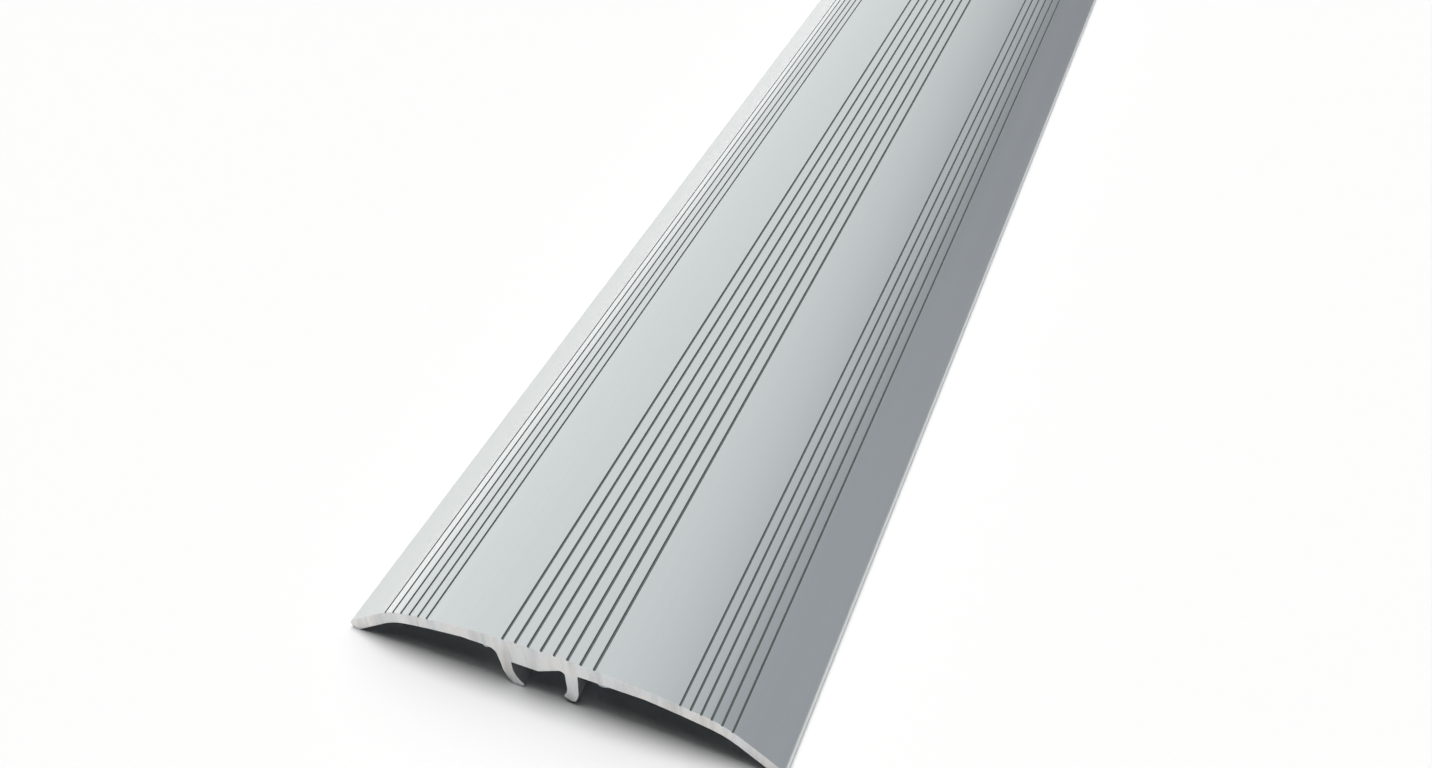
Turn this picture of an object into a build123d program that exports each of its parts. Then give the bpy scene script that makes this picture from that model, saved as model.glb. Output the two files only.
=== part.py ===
from build123d import *
import os
from math import acos, asin, atan2, cos, degrees, hypot, radians, sin, tan

# An arched aluminium threshold strip with a clip socket under its middle, and the row of
# concealed fixings that hold it to the floor. X runs across the strip, Y along it and Z up.
# The origin is on the middle fixing's axis at floor level. All sizes are in millimetres.

# ---- strip: outside shape ----
strip_length = 930.0
strip_width = 83.0
roof_web = 4.1             # metal between the socket's roof and the crown
crown_radius = 137.0       # gentle arc over the middle
shoulder_inset = 13.5      # from the strip's edge to where the crown arc ends
shoulder_radius = 15.0
nose_radius = 1.2          # rounded edge that rests on the floor
crown_wall = 2.9
toe_wall = 2.4
inner_shoulder_radius = 12.0
root_drop = 4.0            # from the crown down to the flat underside that carries the jaws

# ---- strip: lengthwise grooves ----
middle_groove_count = 8
middle_groove_pitch = 2.42
middle_groove_width = 0.5
middle_groove_depth = 0.35
side_groove_count = 6
side_groove_pitch = 1.79
side_groove_width = 0.38
side_groove_depth = 0.30
side_group_inset = 13.5    # from the strip's edge to the middle of a side group

# ---- strip: clip socket ----
socket_offset = 2.65       # the socket lies this far to -X of the strip's centreline
socket_height = 4.7        # socket centre above the floor
socket_radius = 5.2
jaw_wall = 2.15
pad_height = 6.6           # flat roof over the hooked side, above the floor
roof_height = 9.0          # higher roof over the footed side, above the floor
roof_ledge = 0.9           # level stretch of the higher roof beside the footed jaw
roof_corner_radius = 0.8
jaw_floor_gap = 0.2        # under the lower of the two jaws
hook_end_angle = -131.0    # end of the hooked jaw round the socket, from +X
foot_end_angle = -35.0     # end of the footed jaw round the socket, from +X
hook_lean = 0.6            # outward lean of the hooked jaw's outer face up to its root
foot_lean = 0.3
hook_root_radius = 1.7
foot_root_radius = 0.3
foot_corner_radius = 0.9

# ---- fixings ----
fixing_count = 7
fixing_end_inset = 60.0    # from the strip's end to the first fixing
ball_radius = 2.8
ball_roof_gap = 0.3        # over the ball, to the pad
ball_flat_drop = 0.3       # flat on the ball's top
driver_size = 2.5          # across the flats of the hex recess
driver_depth = 2.2
neck_radius = 1.6
thread_radius = 2.0
thread_top = -0.7
screw_tip = -38.0
screw_point_length = 4.0
tilt_limit = 12.0          # degrees, each way

# ---- nylon cap ----
cap_socket_gap = 0.2       # round the cap, to the jaws
cap_roof_gap = 0.2         # over the cap, to the pad
cap_bottom = 0.9
seat_clearance = 0.05      # round the ball
driver_hole_radius = 2.1
neck_clearance = 0.15
mouth_extra_angle = 2.0    # the mouth flares this much more than the tilt needs
cap_slot_width = 0.6

# ---- nylon wall plug ----
plug_recess = 1.0          # the plug's top lies this far under the floor's surface
plug_radius = 4.0
plug_length = 40.0
collar_length = 8.0
thread_clearance = 0.05
plug_end_wall = 1.5
barb_count = 6
barb_depth = 0.45
barb_gap = 2.0             # plain stretch between the collar and the first barb
barb_end_margin = 4.0      # plain stretch between the last barb and the plug's end
plug_slot_width = 1.0
plug_nose_chamfer = 1.5

# ---- worked out from the above ----
half_width = strip_width / 2
fixing_pitch = (strip_length - 2 * fixing_end_inset) / (fixing_count - 1)
ball_height = pad_height - ball_roof_gap - ball_radius
jaw_outer = socket_radius + jaw_wall
crown_height = roof_height + roof_web
root_height = crown_height - root_drop
shoulder_x = half_width - shoulder_inset
crown_end = asin(shoulder_x / crown_radius)
crown_centre_z = crown_height - crown_radius
shoulder_centre_x = shoulder_x - shoulder_radius * sin(crown_end)
shoulder_centre_z = crown_centre_z + (crown_radius - shoulder_radius) * cos(crown_end)
nose_centre_x = half_width - nose_radius

# The straight bevel is the line that touches the shoulder arc and the nose arc.
nose_run = nose_centre_x - shoulder_centre_x
nose_rise = nose_radius - shoulder_centre_z
bevel_turn = acos((shoulder_radius - nose_radius) / hypot(nose_run, nose_rise))
bevel_angle = radians(90) - atan2(nose_rise, nose_run) - bevel_turn
bevel_distance = (
    shoulder_radius + shoulder_centre_x * sin(bevel_angle) + shoulder_centre_z * cos(bevel_angle)
)


def from_vertical(centre, radius, angle):
    """The point of a circle that lies at an angle from straight up, towards +X."""
    return centre[0] + radius * sin(angle), centre[1] + radius * cos(angle)


def mirrored(point):
    return -point[0], point[1]


def arc_over(centre, radius, angle_from, angle_to):
    """An arc between two angles from straight up, towards +X."""
    angles = (angle_from, (angle_from + angle_to) / 2, angle_to)
    return ThreePointArc(*(from_vertical(centre, radius, angle) for angle in angles))


def both_sides(edges):
    """The edges with their mirror images across the strip's centreline."""
    return edges + [mirror(edge, Plane.YZ) for edge in edges]


def outer_region():
    """Everything under the strip's top surface, down to the floor, on its own centreline."""
    crown_centre = (0, crown_centre_z)
    shoulder_centre = (shoulder_centre_x, shoulder_centre_z)
    nose_centre = (nose_centre_x, nose_radius)
    crown = arc_over(crown_centre, crown_radius, -crown_end, crown_end)
    flank = [
        arc_over(shoulder_centre, shoulder_radius, crown_end, bevel_angle),
        Line(
            from_vertical(shoulder_centre, shoulder_radius, bevel_angle),
            from_vertical(nose_centre, nose_radius, bevel_angle),
        ),
        arc_over(nose_centre, nose_radius, bevel_angle, radians(180)),
    ]
    floor_line = Line((-nose_centre_x, 0), (nose_centre_x, 0))
    return make_face([crown, floor_line] + both_sides(flank))


def hollow_region():
    """The space under the arch, from wall to wall and up to the flat that carries the jaws."""
    radius = crown_radius - crown_wall
    distance = bevel_distance - toe_wall
    meeting = bevel_angle - acos((distance - crown_centre_z * cos(bevel_angle)) / radius)
    corner = from_vertical((0, crown_centre_z), radius, meeting)
    foot = (distance / sin(bevel_angle), 0)
    face = make_face(
        [
            arc_over((0, crown_centre_z), radius, -meeting, meeting),
            Line(corner, foot),
            Line(mirrored(corner), mirrored(foot)),
            Line(mirrored(foot), foot),
        ]
    )
    face = fillet(face.vertices().sort_by(Axis.Y)[-2:], inner_shoulder_radius)
    return face & Pos(0, root_height / 2) * Rectangle(strip_width, root_height)


def surface_at(x):
    """Height of the top surface and its slope angle at a place across the strip."""
    side = 1 if x >= 0 else -1
    if abs(x) <= shoulder_x:
        angle = asin(abs(x) / crown_radius)
        return from_vertical((0, crown_centre_z), crown_radius, angle)[1], side * angle
    angle = asin((abs(x) - shoulder_centre_x) / shoulder_radius)
    return from_vertical((0, shoulder_centre_z), shoulder_radius, angle)[1], side * angle


def groove_group(middle_x, count, pitch, width, depth):
    """Round-bottomed grooves cut square to the surface, side by side."""
    cuts = []
    for index in range(count):
        x = middle_x + (index - (count - 1) / 2) * pitch
        z, angle = surface_at(x)
        cuts.append(Pos(x, z) * Rot(0, 0, 90 - degrees(angle)) * SlotOverall(2 * depth, width))
    return cuts


def ring_sector(end_angle, wall_angle):
    """Half of the ring round the socket, cut off square at the jaw's end."""
    reach = 2 * jaw_outer
    wedge = make_face(
        Polyline(
            (0, 0),
            (reach * cos(radians(wall_angle)), reach * sin(radians(wall_angle))),
            (reach * cos(radians(end_angle)), reach * sin(radians(end_angle))),
            close=True,
        )
    )
    return (Circle(jaw_outer) - Circle(socket_radius)) & wedge


def socket_section():
    """The two jaws and the metal over the socket, on the socket's own axis."""
    hook = Pos(0, socket_height) * ring_sector(hook_end_angle, 180)
    foot = Pos(0, socket_height) * ring_sector(foot_end_angle, 0)
    foot_angle = radians(foot_end_angle)
    foot_corner = (jaw_outer * cos(foot_angle), socket_height + jaw_outer * sin(foot_angle))
    foot = fillet(foot.vertices().sort_by_distance(foot_corner)[0], foot_corner_radius)
    block = make_face(
        Polyline(
            (-jaw_outer, socket_height),
            (-jaw_outer - hook_lean, root_height),
            (-jaw_outer - hook_lean, root_height + crown_wall / 2),
            (jaw_outer + foot_lean, root_height + crown_wall / 2),
            (jaw_outer + foot_lean, root_height),
            (jaw_outer, socket_height),
            close=True,
        )
    )
    cavity = make_face(
        Polyline(
            (-socket_radius, socket_height),
            (-socket_radius, pad_height),
            (0, pad_height),
            (socket_radius - roof_ledge, roof_height),
            (socket_radius, roof_height),
            (socket_radius, socket_height),
            close=True,
        )
    )
    roof_corner = cavity.vertices().sort_by_distance((socket_radius, roof_height))[0]
    cavity = fillet(roof_corner, roof_corner_radius)
    section = hook + foot + (block - cavity)
    return section - Pos(0, jaw_floor_gap - jaw_outer) * Rectangle(4 * jaw_outer, 2 * jaw_outer)


def strip_section():
    section = outer_region() - hollow_region() + Pos(-socket_offset, 0) * socket_section()
    hook_root = (-socket_offset - jaw_outer - hook_lean, root_height)
    foot_root = (-socket_offset + jaw_outer + foot_lean, root_height)
    for point, radius in ((hook_root, hook_root_radius), (foot_root, foot_root_radius)):
        section = fillet(section.vertices().sort_by_distance(point)[0], radius)
    side_x = half_width - side_group_inset
    cuts = groove_group(
        0, middle_groove_count, middle_groove_pitch, middle_groove_width, middle_groove_depth
    )
    for side in (-1, 1):
        cuts += groove_group(
            side * side_x, side_groove_count, side_groove_pitch, side_groove_width, side_groove_depth
        )
    for cut in cuts:
        section -= cut
    return section


def make_strip():
    section = Plane.XZ * Pos(socket_offset, 0) * strip_section()
    return extrude(section, amount=strip_length / 2, both=True)


def cylinder_between(radius, low, high):
    return Pos(0, 0, (low + high) / 2) * Cylinder(radius, high - low)


def box_between(size_x, size_y, low, high):
    return Pos(0, 0, (low + high) / 2) * Box(size_x, size_y, high - low)


def make_cap():
    """Collar that snaps between the jaws and holds the ball, open at the top for the driver."""
    top = pad_height - cap_roof_gap
    radius = socket_radius - cap_socket_gap
    cap = Pos(0, 0, socket_height) * Sphere(radius)
    cap &= box_between(3 * radius, 3 * radius, cap_bottom, top)
    cap -= Pos(0, 0, ball_height) * Sphere(ball_radius + seat_clearance)
    cap -= cylinder_between(driver_hole_radius, ball_height, top + 1)
    flare = tan(radians(tilt_limit + mouth_extra_angle))
    depth = ball_height - cap_bottom
    narrow = neck_radius / cos(radians(tilt_limit)) + neck_clearance
    cap -= Pos(0, 0, ball_height - depth / 2) * Cone(narrow + depth * flare, narrow, depth)
    for size in ((cap_slot_width, 3 * radius), (3 * radius, cap_slot_width)):
        cap -= box_between(*size, cap_bottom - 1, ball_height)
    return cap


def make_screw():
    """Ball head with a hex recess, a waisted neck and a shank over its thread's crest."""
    flat_top = ball_height + ball_radius - ball_flat_drop
    screw = Pos(0, 0, ball_height) * Sphere(ball_radius)
    screw &= box_between(3 * ball_radius, 3 * ball_radius, ball_height - ball_radius, flat_top)
    screw += cylinder_between(neck_radius, thread_top, ball_height)
    screw += cylinder_between(thread_radius, screw_tip + screw_point_length, thread_top)
    point_middle = screw_tip + screw_point_length / 2
    screw += Pos(0, 0, point_middle) * Cone(neck_radius / 4, thread_radius, screw_point_length)
    recess = extrude(RegularPolygon(driver_size / 2, 6, major_radius=False), driver_depth)
    return screw - Pos(0, 0, flat_top - driver_depth) * recess


def make_plug():
    """Plug with a plain collar, barbs, a closed end and two crossing slots that let it spread."""
    top = -plug_recess
    collar_end = top - collar_length
    end = top - plug_length
    plug = cylinder_between(plug_radius, collar_end, top)
    plug += chamfer(
        cylinder_between(plug_radius - barb_depth, end, collar_end).edges().sort_by(Axis.Z)[0],
        plug_nose_chamfer,
    )
    barbs_top = collar_end - barb_gap
    pitch = (barbs_top - end - barb_end_margin) / barb_count
    for index in range(barb_count):
        middle = barbs_top - (index + 0.5) * pitch
        plug += Pos(0, 0, middle) * Cone(plug_radius - barb_depth, plug_radius, pitch)
    plug -= cylinder_between(thread_radius + thread_clearance, end + plug_end_wall, top)
    slot_low = end + barb_end_margin
    for size in ((plug_slot_width, 3 * plug_radius), (3 * plug_radius, plug_slot_width)):
        plug -= box_between(*size, slot_low, barbs_top)
    return plug


os.makedirs("parts", exist_ok=True)
export_step(make_strip(), "parts/strip_profile.step")
fixing_parts = {"wall_plug": make_plug(), "ball_screw": make_screw(), "clip_cap": make_cap()}
for name, solid in fixing_parts.items():
    for index in range(fixing_count):
        y = (index - (fixing_count - 1) / 2) * fixing_pitch
        export_step(Pos(0, y, 0) * solid, f"parts/{name}_{index + 1}.step")
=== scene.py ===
from math import acos, asin, atan2, ceil, cos, hypot, pi, radians, sin, sqrt, tan

import bmesh
import bpy
from mathutils import Matrix, Vector


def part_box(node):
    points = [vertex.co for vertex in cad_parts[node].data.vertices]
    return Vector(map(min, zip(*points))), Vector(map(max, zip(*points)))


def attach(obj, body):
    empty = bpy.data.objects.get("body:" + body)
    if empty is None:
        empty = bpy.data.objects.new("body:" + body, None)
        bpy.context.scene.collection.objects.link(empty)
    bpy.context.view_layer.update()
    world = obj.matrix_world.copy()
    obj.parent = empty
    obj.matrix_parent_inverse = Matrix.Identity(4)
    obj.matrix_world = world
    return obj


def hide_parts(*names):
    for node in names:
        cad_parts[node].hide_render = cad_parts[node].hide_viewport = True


# An arched aluminium threshold strip on its row of concealed fixings. Lengths are in metres.
MM = 0.001
merge_gap = 0.002 * MM     # points nearer than this are one point

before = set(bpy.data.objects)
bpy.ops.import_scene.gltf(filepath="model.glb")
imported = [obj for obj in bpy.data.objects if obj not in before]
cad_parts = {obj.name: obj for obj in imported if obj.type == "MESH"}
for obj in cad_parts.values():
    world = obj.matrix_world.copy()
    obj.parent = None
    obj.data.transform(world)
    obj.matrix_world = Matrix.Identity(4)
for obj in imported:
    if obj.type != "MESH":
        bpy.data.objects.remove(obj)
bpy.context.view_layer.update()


def numbered(stem):
    """The row of fixing parts with this name, from one end of the strip to the other."""
    names = [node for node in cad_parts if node.startswith(stem)]
    return sorted(names, key=lambda node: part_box(node)[0].y)


def middle_of(node):
    low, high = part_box(node)
    return (low + high) / 2


# ---------------------------------------------------------------- bmesh helpers

def new_piece(name, bm, materials, body, replaced):
    """Makes the finished mesh an object that rides on a body and stands for its CAD part."""
    mesh = bpy.data.meshes.new(name)
    bm.to_mesh(mesh)
    bm.free()
    for material in materials:
        mesh.materials.append(material)
    piece = bpy.data.objects.new(name, mesh)
    bpy.context.scene.collection.objects.link(piece)
    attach(piece, body)
    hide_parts(replaced)
    return piece


def shade(bm, sharp_angle=30):
    """Smooth faces everywhere, with hard edges where the surface really turns."""
    for face in bm.faces:
        face.smooth = True
    for edge in bm.edges:
        edge.smooth = len(edge.link_faces) == 2 and edge.calc_face_angle(0) < radians(sharp_angle)


class Pen:
    """Draws a section by sweeping an edge that runs the whole length of the strip."""

    def __init__(self, bm, x, z, low_y, high_y, shift_x):
        self.bm = bm
        self.shift = shift_x
        self.finish = 0
        ends = [bm.verts.new((x + shift_x, y, z)) for y in (low_y, high_y)]
        self.edge = bm.edges.new(ends)

    def at(self):
        place = self.edge.verts[0].co
        return place.x - self.shift, place.z

    def paint(self, faces_before):
        self.bm.faces.ensure_lookup_table()
        for face in self.bm.faces[faces_before:]:
            face.material_index = self.finish

    def line(self, x, z):
        here_x, here_z = self.at()
        before = len(self.bm.faces)
        swept = bmesh.ops.extrude_edge_only(self.bm, edges=[self.edge])["geom"]
        verts = [item for item in swept if isinstance(item, bmesh.types.BMVert)]
        bmesh.ops.translate(self.bm, verts=verts, vec=(x - here_x, 0, z - here_z))
        self.edge = next(edge for edge in swept
                         if isinstance(edge, bmesh.types.BMEdge) and set(edge.verts) == set(verts))
        self.paint(before)

    def turn(self, centre, angle, step=radians(9)):
        """Sweeps round a centre, clockwise as seen from the strip's -Y end when the angle is positive."""
        before = len(self.bm.faces)
        steps = max(1, ceil(abs(angle) / step))
        last = bmesh.ops.spin(
            self.bm, geom=list(self.edge.verts) + [self.edge], cent=(centre[0] + self.shift, 0, centre[1]),
            axis=(0, 1, 0), dvec=(0, 0, 0), angle=angle, steps=steps, use_merge=False,
            use_normal_flip=False, use_duplicate=False)["geom_last"]
        self.edge = next(item for item in last if isinstance(item, bmesh.types.BMEdge))
        self.paint(before)

    def corner(self, point, after, radius):
        """A straight run to a corner that is rounded towards the next point."""
        here = Vector(self.at())
        point, after = Vector(point), Vector(after)
        inward, outward = (point - here).normalized(), (after - point).normalized()
        turn = atan2(inward.x * outward.y - inward.y * outward.x, inward.dot(outward))
        start = point - inward * radius * tan(abs(turn) / 2)
        side = Vector((-inward.y, inward.x)) * (1 if turn > 0 else -1)
        self.line(*start)
        self.turn(start + side * radius, -turn)


def polar(centre, radius, angle):
    """The point of a circle at an angle from straight up, towards +X."""
    return centre[0] + radius * sin(angle), centre[1] + radius * cos(angle)


def turned(outline, steps, ring=False):
    """A shape turned round the vertical axis from its (radius, height) outline."""
    bm = bmesh.new()
    verts = [bm.verts.new((radius, 0, height)) for radius, height in outline]
    nexts = verts[1:] + verts[:1] if ring else verts[1:]
    edges = [bm.edges.new(pair) for pair in zip(verts, nexts)]
    bmesh.ops.spin(bm, geom=verts + edges, cent=(0, 0, 0), axis=(0, 0, 1), dvec=(0, 0, 0), angle=2 * pi,
                   steps=steps, use_merge=True, use_normal_flip=False, use_duplicate=False)
    bmesh.ops.remove_doubles(bm, verts=bm.verts, dist=merge_gap)
    bmesh.ops.recalc_face_normals(bm, faces=bm.faces)
    return bm


def box_shape(size, low, high):
    bm = bmesh.new()
    place = Matrix.Translation((0, 0, (low + high) / 2)) @ Matrix.Diagonal((*size, high - low, 1))
    bmesh.ops.create_cube(bm, size=1.0, matrix=place)
    return bm


def cut_away(bm, tools):
    """Takes the tools' shapes out of a closed shape, one after another."""
    parts = []
    for shape in (bm, *tools):
        mesh = bpy.data.meshes.new("blank")
        shape.to_mesh(mesh)
        shape.free()
        parts.append(bpy.data.objects.new("blank", mesh))
        bpy.context.scene.collection.objects.link(parts[-1])
    for tool in parts[1:]:
        cut = parts[0].modifiers.new("cut", "BOOLEAN")
        cut.operation = "DIFFERENCE"
        cut.solver = "EXACT"
        cut.object = tool
    blank = parts[0].evaluated_get(bpy.context.evaluated_depsgraph_get())
    finished = bpy.data.meshes.new_from_object(blank)
    bm = bmesh.new()
    bm.from_mesh(finished)
    bpy.data.meshes.remove(finished)
    for part in parts:
        bpy.data.meshes.remove(part.data)
    bmesh.ops.remove_doubles(bm, verts=bm.verts, dist=merge_gap / 2)
    return bm


def soften(bm, angle, offset):
    """Rounds every edge that turns by more than the angle."""
    corners = [edge for edge in bm.edges if len(edge.link_faces) == 2
               and edge.calc_face_angle(0) > radians(angle)]
    bmesh.ops.bevel(bm, geom=corners, offset=offset, offset_type="OFFSET", affect="EDGES",
                    segments=2, profile=0.5, clamp_overlap=True, material=-1)


def make_row(stem, piece_name, bm, material, body):
    """Puts a copy of a finished fixing part at every station along the strip."""
    for number, node in enumerate(numbered(stem), 1):
        copy = bm.copy()
        bmesh.ops.translate(copy, verts=copy.verts, vec=(0, middle_of(node).y, 0))
        new_piece(f"{piece_name}_{number}", copy, [material], body, node)
    bm.free()


def arc_points(centre, radius, start, end, steps):
    """(radius, height) points of an arc, by angles from straight up."""
    return [polar(centre, radius, start + (end - start) * i / steps) for i in range(steps + 1)]


# ---------------------------------------------------------------- shader node helpers

class Nodes:
    """Adds shader nodes to a material or a node group and wires them."""

    def __init__(self, tree):
        self.tree = tree

    def add(self, kind, values=None, **settings):
        node = self.tree.nodes.new(kind)
        for key, value in settings.items():
            setattr(node, key, value)
        for key, value in (values or {}).items():
            if isinstance(value, bpy.types.NodeSocket):
                self.tree.links.new(value, node.inputs[key])
            else:
                node.inputs[key].default_value = value
        return node

    def math(self, operation, first, second):
        return self.add("ShaderNodeMath", {0: first, 1: second}, operation=operation).outputs[0]

    def blend(self, factor, first, second, mode="MIX"):
        mix = self.add("ShaderNodeMix", {0: factor, 6: first, 7: second}, data_type="RGBA", blend_type=mode)
        return mix.outputs[2]

    def ramp(self, factor, low, high, out_low=0.0, out_high=1.0):
        values = {0: factor, 1: low, 2: high, 3: out_low, 4: out_high}
        return self.add("ShaderNodeMapRange", values).outputs[0]

    def noise(self, place, scale, detail):
        values = {"Vector": place, "Scale": scale, "Detail": detail}
        return self.add("ShaderNodeTexNoise", values).outputs[0]


def new_group(name, inputs, outputs):
    """A node group with named float inputs and outputs, its input node and its output node."""
    tree = bpy.data.node_groups.new(name, "ShaderNodeTree")
    for label, value in inputs.items():
        socket = tree.interface.new_socket(label, in_out="INPUT", socket_type="NodeSocketFloat")
        socket.default_value = value
    for label in outputs:
        tree.interface.new_socket(label, in_out="OUTPUT", socket_type="NodeSocketFloat")
    nodes = Nodes(tree)
    return nodes, nodes.add("NodeGroupInput"), nodes.add("NodeGroupOutput")


def directional_noise(nodes, place, across, along, detail, shift=0.0):
    """Noise drawn out along Y: 'across' and 'along' are cells per metre."""
    scale = nodes.add("ShaderNodeCombineXYZ", {0: across, 1: along, 2: across}).outputs[0]
    mapped = nodes.add("ShaderNodeVectorMath", {0: place, 1: scale}, operation="MULTIPLY").outputs[0]
    moved = nodes.add("ShaderNodeVectorMath", {0: mapped, 1: (shift, shift, shift)}, operation="ADD")
    return nodes.noise(moved.outputs[0], 1.0, detail)


def extrusion_lines_group():
    """The faint lengthwise lines that a die leaves, with a slow change of tone from place to place."""
    nodes, given, out = new_group(
        "extrusion_lines", {"Lines Per Metre": 9000.0, "Run Per Metre": 12.0}, ("Height", "Tone"))
    place = nodes.add("ShaderNodeTexCoord").outputs["Object"]
    lines, run = given.outputs["Lines Per Metre"], given.outputs["Run Per Metre"]
    fine = directional_noise(nodes, place, lines, run, 3.0)
    wide_lines = nodes.math("MULTIPLY", lines, 0.12)
    wide = directional_noise(nodes, place, wide_lines, nodes.math("MULTIPLY", run, 0.3), 2.0, 7.3)
    height = nodes.math("ADD", nodes.math("MULTIPLY", fine, 0.7), nodes.math("MULTIPLY", wide, 0.3))
    nodes.tree.links.new(height, out.inputs["Height"])
    nodes.tree.links.new(wide, out.inputs["Tone"])
    return nodes.tree


def fine_grain_group():
    """Even, fine roughness such as moulded nylon or plated steel shows."""
    nodes, given, out = new_group("fine_grain", {"Cells Per Metre": 4000.0}, ("Height", "Tone"))
    place = nodes.add("ShaderNodeTexCoord").outputs["Object"]
    cells = given.outputs["Cells Per Metre"]
    fine = nodes.noise(place, cells, 4.0)
    broad = nodes.noise(place, nodes.math("MULTIPLY", cells, 0.06), 2.0)
    nodes.tree.links.new(fine, out.inputs["Height"])
    nodes.tree.links.new(broad, out.inputs["Tone"])
    return nodes.tree


def new_material(name):
    material = bpy.data.materials.new(name)
    material.use_nodes = True
    nodes = Nodes(material.node_tree)
    return material, nodes, material.node_tree.nodes["Principled BSDF"]


def dress(nodes, shader, height, tone, colours, roughness, bump):
    """Gives a shader its colour, roughness and bump from a group's Height and Tone."""
    tree = nodes.tree
    tree.links.new(nodes.blend(tone, colours[0], colours[1]), shader.inputs["Base Color"])
    tree.links.new(nodes.ramp(tone, 0.3, 0.7, *roughness), shader.inputs["Roughness"])
    normal = nodes.add("ShaderNodeBump", {"Height": height, "Strength": bump[0], "Distance": bump[1]})
    tree.links.new(normal.outputs["Normal"], shader.inputs["Normal"])


extrusion_lines = extrusion_lines_group()
fine_grain = fine_grain_group()


def anodised_aluminium():
    material, nodes, shader = new_material("satin_anodised_aluminium")
    shader.inputs["Metallic"].default_value = 1.0
    group = nodes.add("ShaderNodeGroup", node_tree=extrusion_lines)
    dress(nodes, shader, group.outputs["Height"], group.outputs["Tone"],
          ((0.60, 0.635, 0.625, 1), (0.64, 0.675, 0.665, 1)), (0.33, 0.40), (0.25, 0.02 * MM))
    return material


def shaded_groove_aluminium():
    """The walls and bottoms of the grooves: duller anodising, and a darker colour that paints the shade in
    the grooves.
    """
    material, nodes, shader = new_material("shaded_groove_aluminium")
    shader.inputs["Metallic"].default_value = 1.0
    group = nodes.add("ShaderNodeGroup", {"Run Per Metre": 60.0}, node_tree=extrusion_lines)
    dress(nodes, shader, group.outputs["Height"], group.outputs["Tone"],
          ((0.26, 0.285, 0.27, 1), (0.34, 0.365, 0.345, 1)), (0.5, 0.65), (0.3, 0.02 * MM))
    return material


def shaded_underside_aluminium():
    """The underside and the jaws, anodised straight over the die's finish so duller than the top; their
    darker colour is painted shade under the arch and in the socket.
    """
    material, nodes, shader = new_material("shaded_underside_aluminium")
    shader.inputs["Metallic"].default_value = 1.0
    group = nodes.add("ShaderNodeGroup", {"Lines Per Metre": 4500.0, "Run Per Metre": 8.0},
                      node_tree=extrusion_lines)
    dress(nodes, shader, group.outputs["Height"], group.outputs["Tone"],
          ((0.38, 0.40, 0.405, 1), (0.45, 0.465, 0.47, 1)), (0.48, 0.60), (0.35, 0.03 * MM))
    return material


def sawn_aluminium():
    """The bare ends: short marks of the saw's teeth across the wall, over patches of warm and cool metal."""
    material, nodes, shader = new_material("sawn_aluminium")
    shader.inputs["Metallic"].default_value = 1.0
    place = nodes.add("ShaderNodeTexCoord").outputs["Object"]
    across = nodes.add("ShaderNodeMapping", {"Vector": place, "Rotation": (0, radians(12), 0),
                                             "Scale": (700, 1, 70)}).outputs[0]
    marks = nodes.noise(across, 1.0, 3.0)
    grain = nodes.noise(place, 3200.0, 4.0)
    patches = nodes.noise(place, 210.0, 2.0)
    mottle = nodes.math("ADD", nodes.math("MULTIPLY", marks, 0.65), nodes.math("MULTIPLY", grain, 0.35))
    metal = nodes.blend(nodes.ramp(patches, 0.4, 0.6), (0.705, 0.72, 0.73, 1), (0.745, 0.735, 0.72, 1))
    shadowed = nodes.blend(1.0, metal, (0.80, 0.80, 0.79, 1), mode="MULTIPLY")
    dress(nodes, shader, mottle, nodes.ramp(mottle, 0.38, 0.56), (shadowed, metal), (0.40, 0.52),
          (0.5, 0.03 * MM))
    return material


def zinc_plated_steel():
    material, nodes, shader = new_material("zinc_plated_steel")
    shader.inputs["Metallic"].default_value = 1.0
    group = nodes.add("ShaderNodeGroup", {"Cells Per Metre": 5000.0}, node_tree=fine_grain)
    dress(nodes, shader, group.outputs["Height"], group.outputs["Tone"],
          ((0.66, 0.69, 0.74, 1), (0.78, 0.77, 0.73, 1)), (0.22, 0.36), (0.15, 0.02 * MM))
    return material


def moulded_nylon(name, colours):
    material, nodes, shader = new_material(name)
    shader.inputs["Subsurface Weight"].default_value = 0.12
    shader.inputs["Subsurface Radius"].default_value = (0.8 * MM, 0.7 * MM, 0.6 * MM)
    shader.inputs["Subsurface Scale"].default_value = 1.0
    group = nodes.add("ShaderNodeGroup", {"Cells Per Metre": 6000.0}, node_tree=fine_grain)
    dress(nodes, shader, group.outputs["Height"], group.outputs["Tone"],
          colours, (0.38, 0.5), (0.3, 0.03 * MM))
    return material


def pale_floor():
    material, nodes, shader = new_material("pale_floor")
    shader.inputs["Base Color"].default_value = (0.74, 0.77, 0.80, 1)
    shader.inputs["Roughness"].default_value = 0.9
    shader.inputs["Specular IOR Level"].default_value = 0.0
    return material


# ---------------------------------------------------------------- the strip

strip_low, strip_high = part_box("strip_profile")
half_width = (strip_high.x - strip_low.x) / 2
crown_height = strip_high.z
end_break = 0.04 * MM      # the saw leaves this small a break round each end

crown_radius = 137 * MM
shoulder_inset = 13.5 * MM
shoulder_radius = 15 * MM
nose_radius = 1.2 * MM
crown_wall = 2.9 * MM
toe_wall = 2.4 * MM
inner_shoulder_radius = 12 * MM
root_height = crown_height - 4.0 * MM
lip_radius = 0.05 * MM
curve_step = 1.0 * MM      # the longest straight run on the crown and the shoulders

socket = (-2.65 * MM, 4.7 * MM)
socket_radius = 5.2 * MM
jaw_outer = socket_radius + 2.15 * MM
pad_height = 6.6 * MM
roof_height = 9.0 * MM
roof_ledge = 0.9 * MM
roof_corner_radius = 0.8 * MM
jaw_floor_gap = 0.2 * MM
hook_end = radians(-139)   # from straight up, as are the angles below
foot_end = radians(125)
hook_lean = 0.6 * MM
foot_lean = 0.3 * MM
hook_root_radius = 1.7 * MM
foot_root_radius = 0.3 * MM
foot_corner_radius = 0.9 * MM

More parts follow.
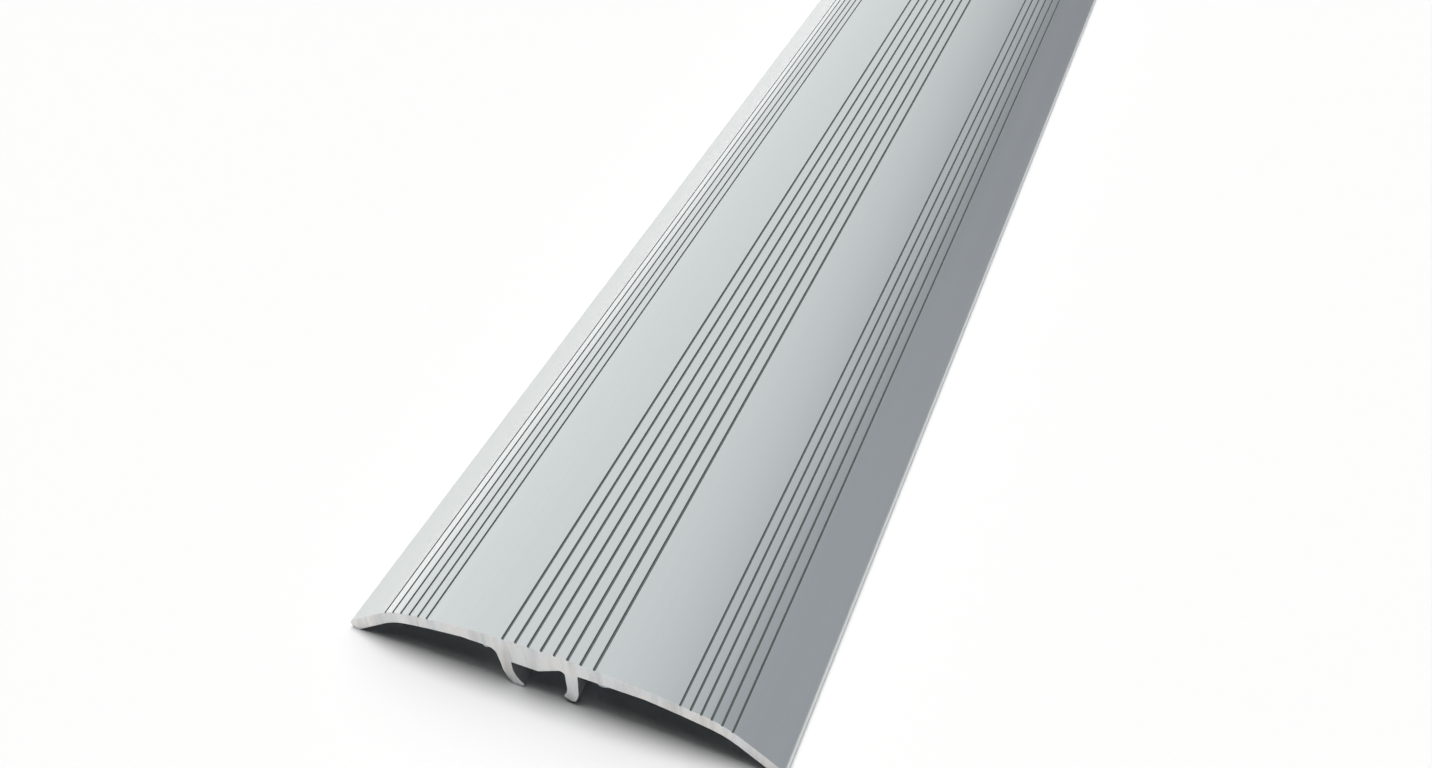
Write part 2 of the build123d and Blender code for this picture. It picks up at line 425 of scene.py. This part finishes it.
# Each group of grooves: middle across the strip, how many, pitch, width and depth.
side_group_inset = 13.5 * MM
side_group_x = half_width - side_group_inset
groove_groups = (
    (-side_group_x, 6, 1.79 * MM, 0.38 * MM, 0.30 * MM),
    (0.0, 8, 2.42 * MM, 0.50 * MM, 0.35 * MM),
    (side_group_x, 6, 1.79 * MM, 0.38 * MM, 0.30 * MM),
)

shoulder_x = half_width - shoulder_inset
crown_end = asin(shoulder_x / crown_radius)
crown_centre = (0.0, crown_height - crown_radius)
shoulder_centre = polar(crown_centre, crown_radius - shoulder_radius, crown_end)
nose_centre = (half_width - nose_radius, nose_radius)
nose_run = nose_centre[0] - shoulder_centre[0]
nose_rise = nose_centre[1] - shoulder_centre[1]
bevel_angle = pi / 2 - atan2(nose_rise, nose_run) - acos(
    (shoulder_radius - nose_radius) / hypot(nose_run, nose_rise))


def across_bevel(point):
    """Distance of a point along the bevel's normal."""
    return point[0] * sin(bevel_angle) + point[1] * cos(bevel_angle)


def mirrored(point):
    return -point[0], point[1]


def sweep_top(pen):
    """Over the left nose, shoulder and crown to the right nose, cutting the grooves on the way."""
    pen.turn(mirrored(nose_centre), pi - bevel_angle)
    pen.line(*polar(mirrored(shoulder_centre), shoulder_radius, -bevel_angle))

    arcs = [(mirrored(shoulder_centre), shoulder_radius, -crown_end),
            (crown_centre, crown_radius, crown_end),
            (shoulder_centre, shoulder_radius, bevel_angle)]
    grooves = [(middle + (index - (count - 1) / 2) * pitch, width, depth)
               for middle, count, pitch, width, depth in groove_groups for index in range(count)]
    angle = -bevel_angle
    for centre, radius, arc_end in arcs:
        last_x = polar(centre, radius, arc_end)[0]
        while grooves and grooves[0][0] < last_x:
            x, width, depth = grooves.pop(0)
            angle = sweep_groove(pen, centre, radius, angle, x, width, depth)
        pen.turn(centre, arc_end - angle, step=curve_step / radius)
        angle = arc_end

    pen.line(*polar(nose_centre, nose_radius, bevel_angle))
    pen.turn(nose_centre, pi - bevel_angle)


def sweep_groove(pen, centre, radius, angle, x, width, depth):
    """Along the surface to a groove, down one wall, round its bottom and up the other wall."""
    middle = asin((x - centre[0]) / radius)
    half = width / 2
    spread = asin(half / radius)
    pen.turn(centre, middle - spread - angle, step=curve_step / radius)
    surface = Vector(polar(centre, radius, middle))
    outward = Vector((sin(middle), cos(middle)))
    sideways = Vector((cos(middle), -sin(middle)))
    bottom = surface - outward * (depth - half)
    # The groove's walls and bottom take the groove material, whose darker colour is painted shade.
    pen.finish = 1
    pen.line(*(bottom - sideways * half))
    pen.turn(bottom, -pi, step=radians(30))
    pen.line(*polar(centre, radius, middle + spread))
    pen.finish = 0
    return middle + spread


def sweep_jaws(pen):
    """Down the footed jaw, round the socket and up the hooked jaw, from right to left."""
    inner, outer = socket_radius, jaw_outer
    foot_root = (socket[0] + outer + foot_lean, root_height)
    foot_shoulder = (socket[0] + outer, socket[1])
    pen.corner(foot_root, foot_shoulder, foot_root_radius)
    pen.line(*foot_shoulder)
    corner_ring = outer - foot_corner_radius
    corner_turn = asin(foot_corner_radius / corner_ring)
    pen.turn(socket, foot_end - corner_turn - pi / 2)
    pen.turn(polar(socket, corner_ring, foot_end - corner_turn), pi / 2 + corner_turn)
    pen.line(*polar(socket, inner, foot_end))
    pen.turn(socket, pi / 2 - foot_end)

    roof_end = (socket[0] + inner - roof_ledge, roof_height)
    pen.corner((socket[0] + inner, roof_height), roof_end, roof_corner_radius)
    pen.corner(roof_end, (socket[0], pad_height), 0.3 * MM)
    pen.corner((socket[0], pad_height), (socket[0] - inner, pad_height), 0.5 * MM)
    pen.corner((socket[0] - inner, pad_height), (socket[0] - inner, socket[1]), 0.2 * MM)
    pen.line(socket[0] - inner, socket[1])

    pen.turn(socket, hook_end + pi / 2)
    drop = socket[1] - jaw_floor_gap
    pen.line(socket[0] - drop * tan(hook_end + pi), jaw_floor_gap)
    reach = sqrt(outer ** 2 - drop ** 2)
    pen.line(socket[0] - reach, jaw_floor_gap)
    pen.turn(socket, atan2(drop, reach))
    hook_root = (socket[0] - outer - hook_lean, root_height)
    pen.corner(hook_root, (hook_root[0] - outer, root_height), hook_root_radius)


def make_strip_mesh():
    shift = (strip_high.x + strip_low.x) / 2
    under_radius = crown_radius - crown_wall
    fillet_ring = under_radius - inner_shoulder_radius
    toe = across_bevel(shoulder_centre) + shoulder_radius - toe_wall
    fillet_end = bevel_angle - acos(
        (toe - inner_shoulder_radius - across_bevel(crown_centre)) / fillet_ring)
    fillet_centre = polar(crown_centre, fillet_ring, fillet_end)
    root_end = acos((root_height - crown_centre[1]) / under_radius)
    foot = (toe / sin(bevel_angle), 0.0)

    bm = bmesh.new()
    pen = Pen(bm, -foot[0], 0.0, strip_low.y + end_break, strip_high.y - end_break, shift)
    pen.line(-nose_centre[0], 0.0)
    sweep_top(pen)
    pen.line(*foot)
    # From here round the underside and the jaws, the faces take the dull material, whose darker colour is
    # painted shade.
    pen.finish = 3
    pen.line(*polar(fillet_centre, inner_shoulder_radius, bevel_angle))
    pen.turn(fillet_centre, fillet_end - bevel_angle)
    pen.turn(crown_centre, root_end - fillet_end, step=curve_step / under_radius)
    sweep_jaws(pen)
    pen.line(*polar(crown_centre, under_radius, -root_end))
    pen.turn(crown_centre, root_end - fillet_end, step=curve_step / under_radius)
    pen.turn(mirrored(fillet_centre), fillet_end - bevel_angle)
    pen.line(-foot[0], 0.0)
    bmesh.ops.remove_doubles(bm, verts=bm.verts, dist=merge_gap)

    round_ridges(bm)
    close_ends(bm)
    return bm


def round_ridges(bm):
    """Takes the sharpness off the edges that run the length of the strip."""
    sharpest_left = radians(28)
    ridges = [edge for edge in bm.edges if len(edge.link_faces) == 2
              and edge.calc_face_angle(0) > sharpest_left and edge.calc_length() > half_width]
    bmesh.ops.bevel(bm, geom=ridges, offset=lip_radius, offset_type="OFFSET", affect="EDGES",
                    segments=2, profile=0.5, clamp_overlap=True, material=-1)
    bmesh.ops.remove_doubles(bm, verts=bm.verts, dist=merge_gap)


def close_ends(bm):
    """Fills both ends and breaks their outline by a hair, so that the cut edge catches light."""
    for y in (strip_low.y + end_break, strip_high.y - end_break):
        outline = [edge for edge in bm.edges if len(edge.link_faces) == 1
                   and all(abs(vert.co.y - y) < end_break / 2 for vert in edge.verts)]
        cap = bmesh.ops.contextual_create(bm, geom=outline, mat_nr=2, use_smooth=False)["faces"]
        bmesh.ops.recalc_face_normals(bm, faces=bm.faces)
        bmesh.ops.inset_region(bm, faces=cap, thickness=end_break, depth=end_break,
                               use_even_offset=True, use_boundary=True)
        for face in cap:
            face.material_index = 2


def make_strip(materials):
    bm = make_strip_mesh()
    shade(bm, sharp_angle=15)
    return new_piece("grooved_strip", bm, materials, "strip", "strip_profile")


def make_burr(name, x, size, material):
    """A lump that the saw has pushed over the lower edge of the near end, half sunk in the metal."""
    lumpiness = 0.18
    setback = 1.2      # shares of the lump's own depth and height
    hang = 0.6
    bm = bmesh.new()
    bmesh.ops.create_icosphere(bm, subdivisions=3, radius=1.0)
    for vert in bm.verts:
        wave = sin(5 * vert.co.x + 2 * x / MM) * cos(4 * vert.co.z + 3 * vert.co.y)
        vert.co *= 1 + lumpiness * wave
    bmesh.ops.scale(bm, verts=bm.verts, vec=size)
    place = ((strip_high.x + strip_low.x) / 2 + x,
             strip_low.y + size[1] * setback,
             root_height - size[2] * hang)
    bmesh.ops.translate(bm, verts=bm.verts, vec=place)
    shade(bm)
    new_piece(name, bm, [material], "strip", "strip_profile")


# ---------------------------------------------------------------- the concealed fixings

ball_height = 3.5 * MM
ball_radius = 2.8 * MM
ball_top = 6.0 * MM
recess_radius = 1.6 * MM       # the ball's face round the hex recess starts here
driver_size = 2.5 * MM
driver_bottom = 3.8 * MM
drill_point = 0.3 * MM
neck_radius = 1.6 * MM
thread_radius = 2.0 * MM
thread_core = 0.72             # the root of the thread, as a share of its crest
ridge_share = 0.3              # how much of the pitch each flank of the thread takes
thread_pitch = 1.8 * MM
thread_top = -0.7 * MM
thread_run_out = -2.0 * MM
screw_tip = -38.0 * MM
point_length = 4.0 * MM
screw_steps = 24               # the thread's rows are one step of the pitch apart
turned_steps = 64              # round the caps and the plugs
moulded_round = 0.12 * MM

cap_centre = 4.7 * MM
cap_radius = 5.0 * MM
cap_bottom = 0.9 * MM
cap_top = 6.4 * MM
seat_radius = 2.85 * MM
driver_hole_radius = 2.1 * MM
seat_mouth = (2.229 * MM, 1.724 * MM)
flare_radius = 2.434 * MM
cap_slot_width = 0.6 * MM

plug_top = -1.0 * MM
plug_end = -41.0 * MM
plug_radius = 4.0 * MM
collar_end = -9.0 * MM
bore_radius = 2.05 * MM
bore_end = -39.5 * MM
barbs_top = -11.0 * MM
barbs_end = -37.0 * MM
barb_count = 6
barb_depth = 0.45 * MM
nose_chamfer = 1.5 * MM
plug_slot_width = 1.0 * MM


def screw_outline():
    """From the point's end up the shank and the neck, and over the ball to the edge of its recess."""
    row = thread_pitch / screw_steps
    rows = [index * row for index in range(ceil(screw_tip / row) + 1, int(thread_run_out / row) + 1)]
    point_end = neck_radius / 4
    outline = [(0.0, screw_tip), (point_end, screw_tip)]
    for height in rows:
        share = min(1.0, (height - screw_tip) / point_length)
        outline.append((point_end + (thread_radius - point_end) * share, height))
    step = 0.1 * MM
    outline += [(thread_radius, thread_top - step), (thread_radius - step, thread_top),
                (neck_radius, thread_top)]
    neck_angle = pi - asin(neck_radius / ball_radius)
    recess_angle = asin(recess_radius / ball_radius)
    return outline + arc_points((0, ball_height), ball_radius, neck_angle, recess_angle, 18)


def cut_thread(bm):
    """Presses the root of a sharp, wide-pitched thread into the shank, fading out under the neck."""
    for vert in bm.verts:
        fade = min(1.0, (thread_run_out - vert.co.z) / thread_pitch)
        if fade > 0:
            turn = atan2(vert.co.y, vert.co.x) / (2 * pi)
            phase = (vert.co.z / thread_pitch - turn) % 1.0
            ridge = max(0.0, 1 - min(phase, 1 - phase) / ridge_share)
            keep = 1 - (1 - thread_core) * (1 - ridge) * fade
            vert.co.x *= keep
            vert.co.y *= keep
    for face in [face for face in bm.faces if len(face.verts) == 4]:
        split_along_thread(face)


def split_along_thread(face):
    """Cuts a four-sided face from its lower corner to the upper corner further round, along the ridge."""
    low = sorted(face.verts, key=lambda vert: vert.co.z)[:2]
    high = [vert for vert in face.verts if vert not in low]
    start = next((a for a, b in (low, low[::-1]) if a.co.x * b.co.y > a.co.y * b.co.x), None)
    end = next((a for a, b in (high, high[::-1]) if a.co.x * b.co.y < a.co.y * b.co.x), None)
    if start and end and high[0].co.z - low[0].co.z < thread_pitch / screw_steps * 1.5:
        bmesh.utils.face_split(face, start, end)


def sink_hex_recess(bm):
    """Draws the open top of the ball in to a hexagon, then down to a shallow drill point."""
    rim = [edge for edge in bm.edges if len(edge.link_faces) == 1]
    for bottom in (None, driver_bottom, driver_bottom):
        swept = bmesh.ops.extrude_edge_only(bm, edges=rim)["geom"]
        verts = [item for item in swept if isinstance(item, bmesh.types.BMVert)]
        rim = [edge for edge in swept if isinstance(edge, bmesh.types.BMEdge)
               and edge.verts[0] in verts and edge.verts[1] in verts]
        for vert in verts:
            angle = atan2(vert.co.y, vert.co.x)
            radius = driver_size / 2 / cos(angle % (pi / 3) - pi / 6)
            height = min(ball_top, ball_height + sqrt(ball_radius ** 2 - radius ** 2))
            vert.co = (radius * cos(angle), radius * sin(angle), bottom or height)
    bmesh.ops.pointmerge(bm, verts=verts, merge_co=(0, 0, driver_bottom - drill_point))


def make_screws(material):
    bm = turned(screw_outline(), screw_steps)
    cut_thread(bm)
    sink_hex_recess(bm)
    bmesh.ops.recalc_face_normals(bm, faces=bm.faces)
    shade(bm, sharp_angle=35)
    make_row("ball_screw_", "threaded_screw", bm, material, "screws")


def make_caps(material):
    """Part-ball collars that snap between the jaws; crossed slits underneath let them spring."""
    top = acos((cap_top - cap_centre) / cap_radius)
    bottom = acos((cap_bottom - cap_centre) / cap_radius)
    mouth = atan2(seat_mouth[0], seat_mouth[1] - ball_height)
    seat_edge = asin(driver_hole_radius / seat_radius)
    outline = arc_points((0, cap_centre), cap_radius, bottom, top, 24)
    outline += [(driver_hole_radius, cap_top)]
    outline += arc_points((0, ball_height), seat_radius, seat_edge, mouth, 16)
    outline += [(flare_radius, cap_bottom)]
    bm = turned(outline, turned_steps, ring=True)
    soften(bm, 40, moulded_round)
    reach = 3 * cap_radius
    slits = [box_shape((cap_slot_width, reach), cap_bottom - MM, ball_height),
             box_shape((reach, cap_slot_width), cap_bottom - MM, ball_height)]
    bm = cut_away(bm, slits)
    shade(bm)
    make_row("clip_cap_", "slit_cap", bm, material, "caps")


def plug_outline():
    """Up the bore from its closed end, over the collar and down the barbs to the nose."""
    root = plug_radius - barb_depth
    outline = [(0.0, bore_end), (bore_radius, bore_end), (bore_radius, plug_top), (plug_radius, plug_top),
               (plug_radius, collar_end), (root, collar_end)]
    pitch = (barbs_top - barbs_end) / barb_count
    for index in range(barb_count):
        top = barbs_top - index * pitch
        outline += [(root, top), (plug_radius, top)]
    outline += [(root, barbs_end), (root, plug_end + nose_chamfer), (root - nose_chamfer, plug_end),
                (0.0, plug_end)]
    return outline


def make_plugs(material):
    bm = turned(plug_outline(), turned_steps)
    soften(bm, 35, moulded_round)
    reach = 3 * plug_radius
    slots = [box_shape((plug_slot_width, reach), barbs_end, barbs_top),
             box_shape((reach, plug_slot_width), barbs_end, barbs_top)]
    bm = cut_away(bm, slots)
    shade(bm)
    make_row("wall_plug_", "barbed_plug", bm, material, "plugs")


# ---------------------------------------------------------------- the stage

def make_floor():
    """A plain floor, drilled under the strip where the plugs are."""
    floor_reach = 17.0
    space_below_plug = 4 * MM
    bm = bmesh.new()
    bmesh.ops.create_circle(bm, cap_ends=False, segments=4, radius=floor_reach)
    for node in numbered("wall_plug_"):
        place = Matrix.Translation((0, middle_of(node).y, 0))
        bmesh.ops.create_circle(bm, cap_ends=False, segments=48, radius=plug_radius, matrix=place)
    holes = bm.edges[4:]
    bmesh.ops.triangle_fill(bm, edges=bm.edges, use_beauty=True, use_dissolve=False, normal=(0, 0, 1))
    walls = bmesh.ops.extrude_edge_only(bm, edges=holes)["geom"]
    verts = [item for item in walls if isinstance(item, bmesh.types.BMVert)]
    bmesh.ops.translate(bm, verts=verts, vec=(0, 0, plug_end - space_below_plug))
    mesh = bpy.data.meshes.new("floor")
    bm.to_mesh(mesh)
    bm.free()
    mesh.materials.append(pale_floor())
    floor = bpy.data.objects.new("floor", mesh)
    bpy.context.scene.collection.objects.link(floor)


def make_camera():
    """Stands to the right of the near end, looks down along the strip and leans a little."""
    azimuth = radians(23.59)
    elevation = radians(42.55)
    lean = radians(-2.09)
    near_end = Vector(((strip_low.x + strip_high.x) / 2, strip_low.y, 0))
    place = near_end + Vector((0.0742, -0.0972, 0.1804))
    forward = Vector((-sin(azimuth) * cos(elevation), cos(azimuth) * cos(elevation), -sin(elevation)))
    level = Vector((cos(azimuth), sin(azimuth), 0))
    upright = level.cross(forward)
    right = level * cos(lean) + upright * sin(lean)
    up = upright * cos(lean) - level * sin(lean)
    data = bpy.data.cameras.new("camera")
    data.lens = 30.9
    data.sensor_width = 36.0
    data.clip_start = 0.01
    camera = bpy.data.objects.new("camera", data)
    axes = Matrix((right, up, -forward)).transposed().to_4x4()
    camera.matrix_world = Matrix.Translation(place) @ axes
    bpy.context.scene.collection.objects.link(camera)
    bpy.context.scene.camera = camera


def make_world():
    """A studio that the metal mirrors: bright on the left, grey on the right, darkest at the far right."""
    world = bpy.data.worlds.new("studio")
    world.use_nodes = True
    nodes = Nodes(world.node_tree)
    direction = nodes.add("ShaderNodeTexCoord").outputs["Generated"]
    axes = nodes.add("ShaderNodeSeparateXYZ", {0: direction}).outputs
    roll = nodes.math("ARCTAN2", axes["X"], axes["Z"])
    ramp = nodes.add("ShaderNodeValToRGB", {"Fac": nodes.ramp(roll, -pi / 2, pi / 2)})
    stops = ((0.0, (1.95, 1.86, 1.89)), (0.14, (1.17, 1.155, 1.17)), (0.24, (1.02, 1.03, 1.045)),
             (0.30, (0.95, 0.96, 0.975)), (0.48, (1.0, 1.01, 1.025)), (0.525, (0.56, 0.575, 0.60)),
             (0.64, (0.52, 0.535, 0.57)), (0.86, (0.455, 0.462, 0.515)), (1.0, (0.34, 0.345, 0.39)))
    elements = ramp.color_ramp.elements
    while len(elements) < len(stops):
        elements.new(0.5)
    for element, (place, colour) in zip(elements, stops):
        element.position = place
        element.color = (*colour, 1)
    # The roll is a direction's angle from straight up, towards +X.
    # These two darken the studio past the far end.
    far_right = nodes.math("MULTIPLY", nodes.ramp(axes["Y"], 0.78, 0.92, 0.0, 0.25),
                           nodes.ramp(roll, radians(-30), 0.0))
    low_right = nodes.math("MULTIPLY", nodes.ramp(axes["Y"], 0.66, 0.80, 0.0, 0.13),
                           nodes.ramp(roll, radians(25), radians(50)))
    darker = nodes.math("ADD", far_right, low_right)
    seen = nodes.add("ShaderNodeLightPath").outputs["Is Camera Ray"]
    background = world.node_tree.nodes["Background"]
    world.node_tree.links.new(nodes.blend(seen, ramp.outputs["Color"], (0.99, 0.99, 0.985, 1)),
                              background.inputs["Color"])
    world.node_tree.links.new(nodes.math("MAXIMUM", nodes.math("SUBTRACT", 1.0, darker), seen),
                              background.inputs["Strength"])
    bpy.context.scene.world = world
    world.cycles_visibility.diffuse = False


def make_soft_light(name, strength, spread, lean_back):
    """A wide soft light above the strip, for the floor and the nylon. The metal mirrors only the studio."""
    data = bpy.data.lights.new(name, "SUN")
    data.energy = strength
    data.color = (1.0, 0.96, 0.92)
    data.angle = spread
    light = bpy.data.objects.new(name, data)
    light.rotation_euler = (-lean_back, 0, 0)
    light.visible_glossy = False
    bpy.context.scene.collection.objects.link(light)


# The underside's material is darker than the top, which paints the shade under the arch; the saw burrs take
# it too.
dull_shaded_aluminium = shaded_underside_aluminium()
# The grooves' material paints shade in the grooves.
make_strip([anodised_aluminium(), shaded_groove_aluminium(), sawn_aluminium(), dull_shaded_aluminium])
make_burr("left_saw_burr", -12.45 * MM, (0.62 * MM, 0.25 * MM, 0.48 * MM), dull_shaded_aluminium)
make_burr("right_saw_burr", 9.45 * MM, (1.05 * MM, 0.28 * MM, 0.56 * MM), dull_shaded_aluminium)
make_screws(zinc_plated_steel())
make_caps(moulded_nylon("natural_nylon", ((0.70, 0.695, 0.65, 1), (0.76, 0.75, 0.70, 1))))
make_plugs(moulded_nylon("grey_nylon", ((0.34, 0.35, 0.355, 1), (0.39, 0.40, 0.405, 1))))
make_floor()
make_camera()
make_world()
make_soft_light("overhead", 2.55, radians(30), radians(8))
make_soft_light("backlight", 1.80, radians(80), radians(22))
bpy.context.scene.view_settings.view_transform = "Standard"
